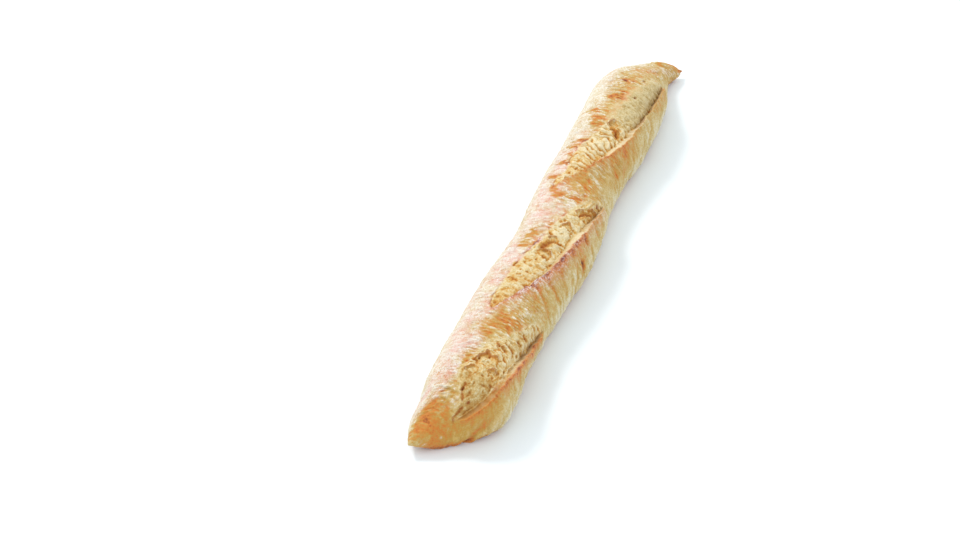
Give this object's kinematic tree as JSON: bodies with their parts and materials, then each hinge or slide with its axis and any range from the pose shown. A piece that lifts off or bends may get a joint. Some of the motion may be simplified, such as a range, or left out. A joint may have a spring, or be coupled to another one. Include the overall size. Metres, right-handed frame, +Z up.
{
  "type": "baguette",
  "caption": "Long crusty hearth loaf with a flat base, domed top, drawn-out bent tips and slanting scores opened beside raised lips.",
  "frame": {"origin": "centre of the loaf's bounding box in plan, on the surface that the base rests on", "axes": "+X along the loaf, from the tip that bends towards +Y to the tip that bends towards -Y; +Z up, out of the scored top"},
  "size_m": [0.54, 0.0718, 0.0542],
  "materials": {
    "crust": "matte floury bread crust, pale cream to reddish brown, with yellow torn crumb in the scores"
  },
  "bodies": {
    "root": {"loaf": "crust"}
  },
  "joints": []
}
